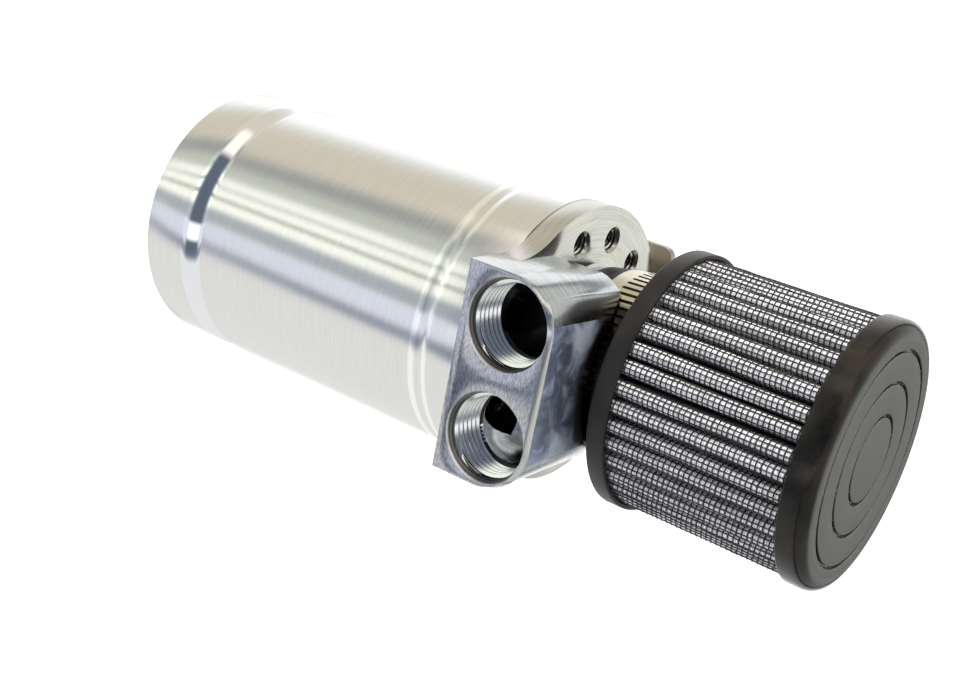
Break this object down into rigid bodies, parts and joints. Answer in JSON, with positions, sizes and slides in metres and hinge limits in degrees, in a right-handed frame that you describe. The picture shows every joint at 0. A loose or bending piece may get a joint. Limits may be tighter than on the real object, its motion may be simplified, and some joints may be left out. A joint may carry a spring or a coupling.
{
  "type": "oil catch can",
  "caption": "Round alloy oil catch can with a milled head, two threaded hose ports, a clamped-on pleated breather filter and a rear bracket.",
  "frame": {"origin": "centre of the flat base that the can stands on, on the can's axis", "axes": "+Z along the can's axis from the base to the filter, -Y the way the two hose ports face, X across the two ports"},
  "size_m": [0.08, 0.0928, 0.22],
  "materials": {
    "turned_alloy": "fine turned, satin",
    "milled_alloy": "bright milled",
    "soft_alloy": "matt",
    "sheet_alloy": "mill finish",
    "steel_mesh": "knitted wire",
    "stainless_sheet": "rolled, matt",
    "stainless_strip": "rolled, satin",
    "plated_steel": "zinc plated",
    "seal_rubber": "smooth",
    "filter_rubber": "moulded, semi-matt",
    "filter_medium": "gauze under fine black wire"
  },
  "bodies": {
    "can": {"can_body": "turned_alloy", "base_plug": "turned_alloy", "base_o_ring": "seal_rubber", "drain_washer": "soft_alloy", "head": "milled_alloy", "head_o_ring": "seal_rubber", "mesh_pad": "steel_mesh", "baffle_plate": "sheet_alloy", "baffle_spacers": "sheet_alloy", "baffle_screws": "plated_steel", "bracket": "stainless_sheet", "bracket_washers": "plated_steel", "bracket_screws": "plated_steel"},
    "drain": {"drain_plug": "plated_steel"},
    "filter": {"filter_base": "filter_rubber", "pleat_pack": "filter_medium", "filter_cap": "filter_rubber", "clamp_band": "stainless_strip", "clamp_housing": "stainless_strip"},
    "worm": {"clamp_screw": "plated_steel"}
  },
  "joints": [
    {"name": "filter_pull", "type": "slide", "parent": "can", "child": "filter", "axis": [0, 0, 1], "range_m": [0, 0.03]},
    {"name": "worm_turn", "type": "hinge", "parent": "filter", "child": "worm", "pos_m": [0, 0.0294, 0.1511], "axis": [1, 0, 0], "continuous": true},
    {"name": "drain_turn", "type": "hinge", "parent": "can", "child": "drain", "pos_m": [0, 0, 0.005], "axis": [0, 0, 1], "continuous": true}
  ]
}
